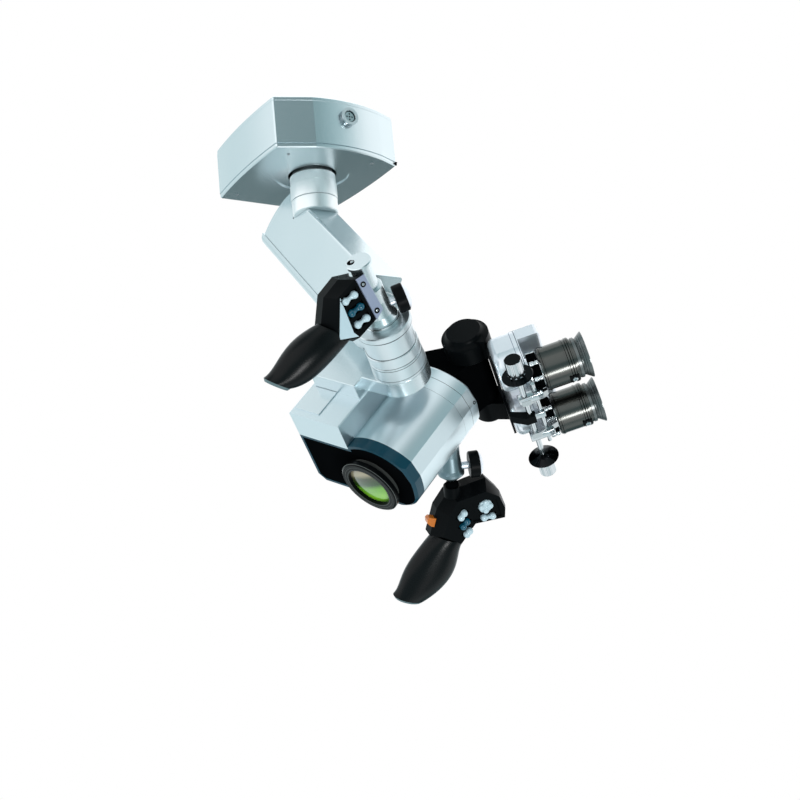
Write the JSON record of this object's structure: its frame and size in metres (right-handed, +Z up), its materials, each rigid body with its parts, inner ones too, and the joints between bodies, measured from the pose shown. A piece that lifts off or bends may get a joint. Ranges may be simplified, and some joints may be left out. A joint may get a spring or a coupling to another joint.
{
  "type": "surgical microscope",
  "caption": "Hanging surgical microscope head: ceiling box, swivel, sloping arm, rotary joint, optics body, inclinable binocular tube and control handles.",
  "frame": {"origin": "on the swivel axis at the upper face of the ceiling box's mounting flange", "axes": "+Z up along the swivel axis, -Y out of the box's bowed front, +X to the right seen from the front"},
  "size_m": [0.4259, 0.3261, 0.5686],
  "materials": {
    "silver_paint": "satin",
    "machined_aluminium": "satin",
    "bearing_steel": "satin",
    "socket_chrome": "polished",
    "teal_paint": "satin",
    "black_anodised": "satin",
    "black_satin": "satin",
    "eyecup_rubber": "matte",
    "grip_black": "fine texture",
    "cap_grey": "satin",
    "plate_lilac": "fine texture",
    "key_white": "gloss",
    "key_blue": "gloss",
    "trigger_orange": "gloss",
    "coated_glass": "green anti-reflection coating",
    "clear_glass": "polished"
  },
  "bodies": {
    "box": {"box_shell": "silver_paint", "top_cover": "silver_paint", "bottom_plate": "silver_paint", "bearing_quill": "machined_aluminium", "swivel_bearings": "bearing_steel", "front_socket": "socket_chrome"},
    "arm": {"swivel_shaft": "silver_paint", "shaft_cap": "silver_paint", "arm_housing": "silver_paint", "shoulder_cover": "silver_paint", "duct_cover": "silver_paint", "arm_end_ring": "machined_aluminium"},
    "knuckle": {"joint_housing": "silver_paint", "joint_collar": "silver_paint", "upper_post": "machined_aluminium"},
    "upper_handle": {"upper_sleeve": "silver_paint", "upper_control_head": "black_satin", "upper_clamp_plate": "plate_lilac", "upper_bezel": "machined_aluminium", "upper_grip": "grip_black", "upper_grip_cap": "cap_grey"},
    "upper_knob": {"upper_clamp_knob": "black_satin"},
    "upper_key_one": {"upper_rocker_one": "key_white"},
    "upper_key_two": {"upper_rocker_two": "key_blue"},
    "upper_key_three": {"upper_rocker_three": "key_white"},
    "head": {"turning_ring": "silver_paint", "carrier_bracket": "silver_paint", "body_shell": "silver_paint", "head_plate": "silver_paint", "trim_band": "teal_paint", "objective_cover": "black_anodised", "side_hatch": "silver_paint", "objective_mount": "black_anodised", "objective_lens": "coated_glass", "lower_post": "machined_aluminium"},
    "focus": {"focus_lens": "bearing_steel"},
    "adapter": {"tube_adapter": "black_anodised", "hinge_base": "black_anodised"},
    "tilt": {"tilt_carrier": "black_satin", "hinge_pin": "bearing_steel"},
    "left_tube": {"left_prism_housing": "black_satin"},
    "left_eye": {"left_eyepiece": "black_satin", "left_ocular": "clear_glass", "left_eyecup": "eyecup_rubber"},
    "right_tube": {"right_prism_housing": "black_satin"},
    "right_eye": {"right_eyepiece": "black_satin", "right_ocular": "clear_glass", "right_eyecup": "eyecup_rubber"},
    "spindle": {"spacing_spindle": "socket_chrome"},
    "ball": {"lower_ball": "bearing_steel"},
    "lower_knob": {"lower_clamp_knob": "black_satin"},
    "lower_handle": {"lower_control_head": "black_satin", "lower_grip": "grip_black", "lower_grip_cap": "cap_grey"},
    "lower_key_one": {"lower_rocker_one": "key_white"},
    "lower_key_two": {"lower_rocker_two": "key_white"},
    "lower_key_three": {"lower_rocker_three": "key_blue"},
    "lower_key_four": {"lower_rocker_four": "key_white"},
    "lower_pad": {"lower_pad": "key_white"},
    "trigger": {"lower_trigger": "trigger_orange"}
  },
  "joints": [
    {"name": "swivel", "type": "hinge", "parent": "box", "child": "arm", "pos_m": [0, 0, -0.08], "axis": [0, 0, 1], "range_deg": [-170, 170]},
    {"name": "knuckle_roll", "type": "hinge", "parent": "arm", "child": "knuckle", "pos_m": [0, -0.12735, -0.2955], "axis": [0, -0.7071, -0.7071], "range_deg": [-60, 60]},
    {"name": "head_turn", "type": "hinge", "parent": "knuckle", "child": "head", "pos_m": [0, -0.12735, -0.2955], "axis": [0.628, 0.5503, -0.5503], "range_deg": [-120, 120]},
    {"name": "upper_handle_turn", "type": "hinge", "parent": "knuckle", "child": "upper_handle", "pos_m": [0, -0.12735, -0.2955], "axis": [0.628, 0.5503, -0.5503], "range_deg": [-40, 25]},
    {"name": "upper_knob_turn", "type": "hinge", "parent": "upper_handle", "child": "upper_knob", "pos_m": [-0.02336, -0.14782, -0.27503], "axis": [0.7595, -0.5876, 0.2791], "range_deg": [-170, 170]},
    {"name": "upper_key_one_rock", "type": "hinge", "parent": "upper_handle", "child": "upper_key_one", "pos_m": [-0.07533, -0.17779, -0.27833], "axis": [0.6815, 0.3168, -0.6597], "range_deg": [-4, 4], "stiffness_Nm_per_rad": 0.05},
    {"name": "upper_key_two_rock", "type": "hinge", "parent": "upper_handle", "child": "upper_key_two", "pos_m": [-0.06595, -0.17282, -0.2885], "axis": [0.6815, 0.3168, -0.6597], "range_deg": [-4, 4], "stiffness_Nm_per_rad": 0.05},
    {"name": "upper_key_three_rock", "type": "hinge", "parent": "upper_handle", "child": "upper_key_three", "pos_m": [-0.05656, -0.16784, -0.29867], "axis": [0.6815, 0.3168, -0.6597], "range_deg": [-4, 4], "stiffness_Nm_per_rad": 0.05},
    {"name": "focus_slide", "type": "slide", "parent": "head", "child": "focus", "axis": [0.6884, -0.063, 0.7226], "range_m": [-0.02, 0.012]},
    {"name": "tube_rotation", "type": "hinge", "parent": "head", "child": "adapter", "pos_m": [0.08904, -0.03896, -0.37263], "axis": [0.6884, -0.063, 0.7226], "range_deg": [-30, 30]},
    {"name": "tube_tilt", "type": "hinge", "parent": "adapter", "child": "tilt", "pos_m": [0.16343, -0.0648, -0.31358], "axis": [0.628, 0.5503, -0.5503], "range_deg": [-75, 20]},
    {"name": "spindle_spin", "type": "hinge", "parent": "tilt", "child": "spindle", "pos_m": [0.16992, -0.14509, -0.38646], "axis": [0.628, 0.5503, -0.5503], "range_deg": [-27, 153]},
    {"name": "left_spacing", "type": "slide", "parent": "tilt", "child": "left_tube", "axis": [0.628, 0.5503, -0.5503], "range_m": [-0.0015, 0.0085]},
    {"name": "right_spacing", "type": "slide", "parent": "tilt", "child": "right_tube", "axis": [0.628, 0.5503, -0.5503], "range_m": [-0.0085, 0.0015]},
    {"name": "left_dioptre", "type": "hinge", "parent": "left_tube", "child": "left_eye", "pos_m": [0.19116, -0.18078, -0.3325], "axis": [0.7434, -0.6333, 0.2151], "range_deg": [-120, 120]},
    {"name": "right_dioptre", "type": "hinge", "parent": "right_tube", "child": "right_eye", "pos_m": [0.23637, -0.14116, -0.37212], "axis": [0.7434, -0.6333, 0.2151], "range_deg": [-120, 120]},
    {"name": "lower_handle_swivel", "type": "hinge", "parent": "head", "child": "ball", "pos_m": [0.13534, -0.02873, -0.44126], "axis": [0.3546, 0.5387, -0.7642], "range_deg": [-90, 90]},
    {"name": "lower_handle_tilt", "type": "hinge", "parent": "ball", "child": "lower_handle", "pos_m": [0.13534, -0.02873, -0.44126], "axis": [-0.1685, -0.7573, -0.631], "range_deg": [-10, 10]},
    {"name": "lower_knob_turn", "type": "hinge", "parent": "head", "child": "lower_knob", "pos_m": [0.12683, -0.04166, -0.42292], "axis": [0.866, -0.4975, 0.0512], "range_deg": [-170, 170]},
    {"name": "lower_key_one_rock", "type": "hinge", "parent": "lower_handle", "child": "lower_key_one", "pos_m": [0.1841, -0.02642, -0.47828], "axis": [-0.3135, -0.5657, 0.7627], "range_deg": [-4, 4], "stiffness_Nm_per_rad": 0.05},
    {"name": "lower_key_two_rock", "type": "hinge", "parent": "lower_handle", "child": "lower_key_two", "pos_m": [0.1498, -0.02283, -0.47597], "axis": [0.935, 0.0799, -0.3455], "range_deg": [-4, 4], "stiffness_Nm_per_rad": 0.05},
    {"name": "lower_key_three_rock", "type": "hinge", "parent": "lower_handle", "child": "lower_key_three", "pos_m": [0.15642, -0.01655, -0.48528], "axis": [0.9236, 0.1025, -0.3695], "range_deg": [-4, 4], "stiffness_Nm_per_rad": 0.05},
    {"name": "lower_key_four_rock", "type": "hinge", "parent": "lower_handle", "child": "lower_key_four", "pos_m": [0.16404, -0.0107, -0.49434], "axis": [0.9043, 0.1361, -0.4047], "range_deg": [-4, 4], "stiffness_Nm_per_rad": 0.05},
    {"name": "pad_press", "type": "slide", "parent": "lower_handle", "child": "lower_pad", "axis": [0.1685, 0.7573, 0.631], "range_m": [0, 0.001], "stiffness_N_per_m": 400},
    {"name": "trigger_press", "type": "slide", "parent": "lower_handle", "child": "trigger", "axis": [0.9854, -0.1131, -0.1273], "range_m": [0, 0.0025], "stiffness_N_per_m": 400}
  ],
  "couplings": [
    {"joint": "right_spacing", "follows": "left_spacing", "ratio": -1},
    {"joint": "spindle_spin", "follows": "left_spacing", "rad_per_m": 314.16}
  ]
}
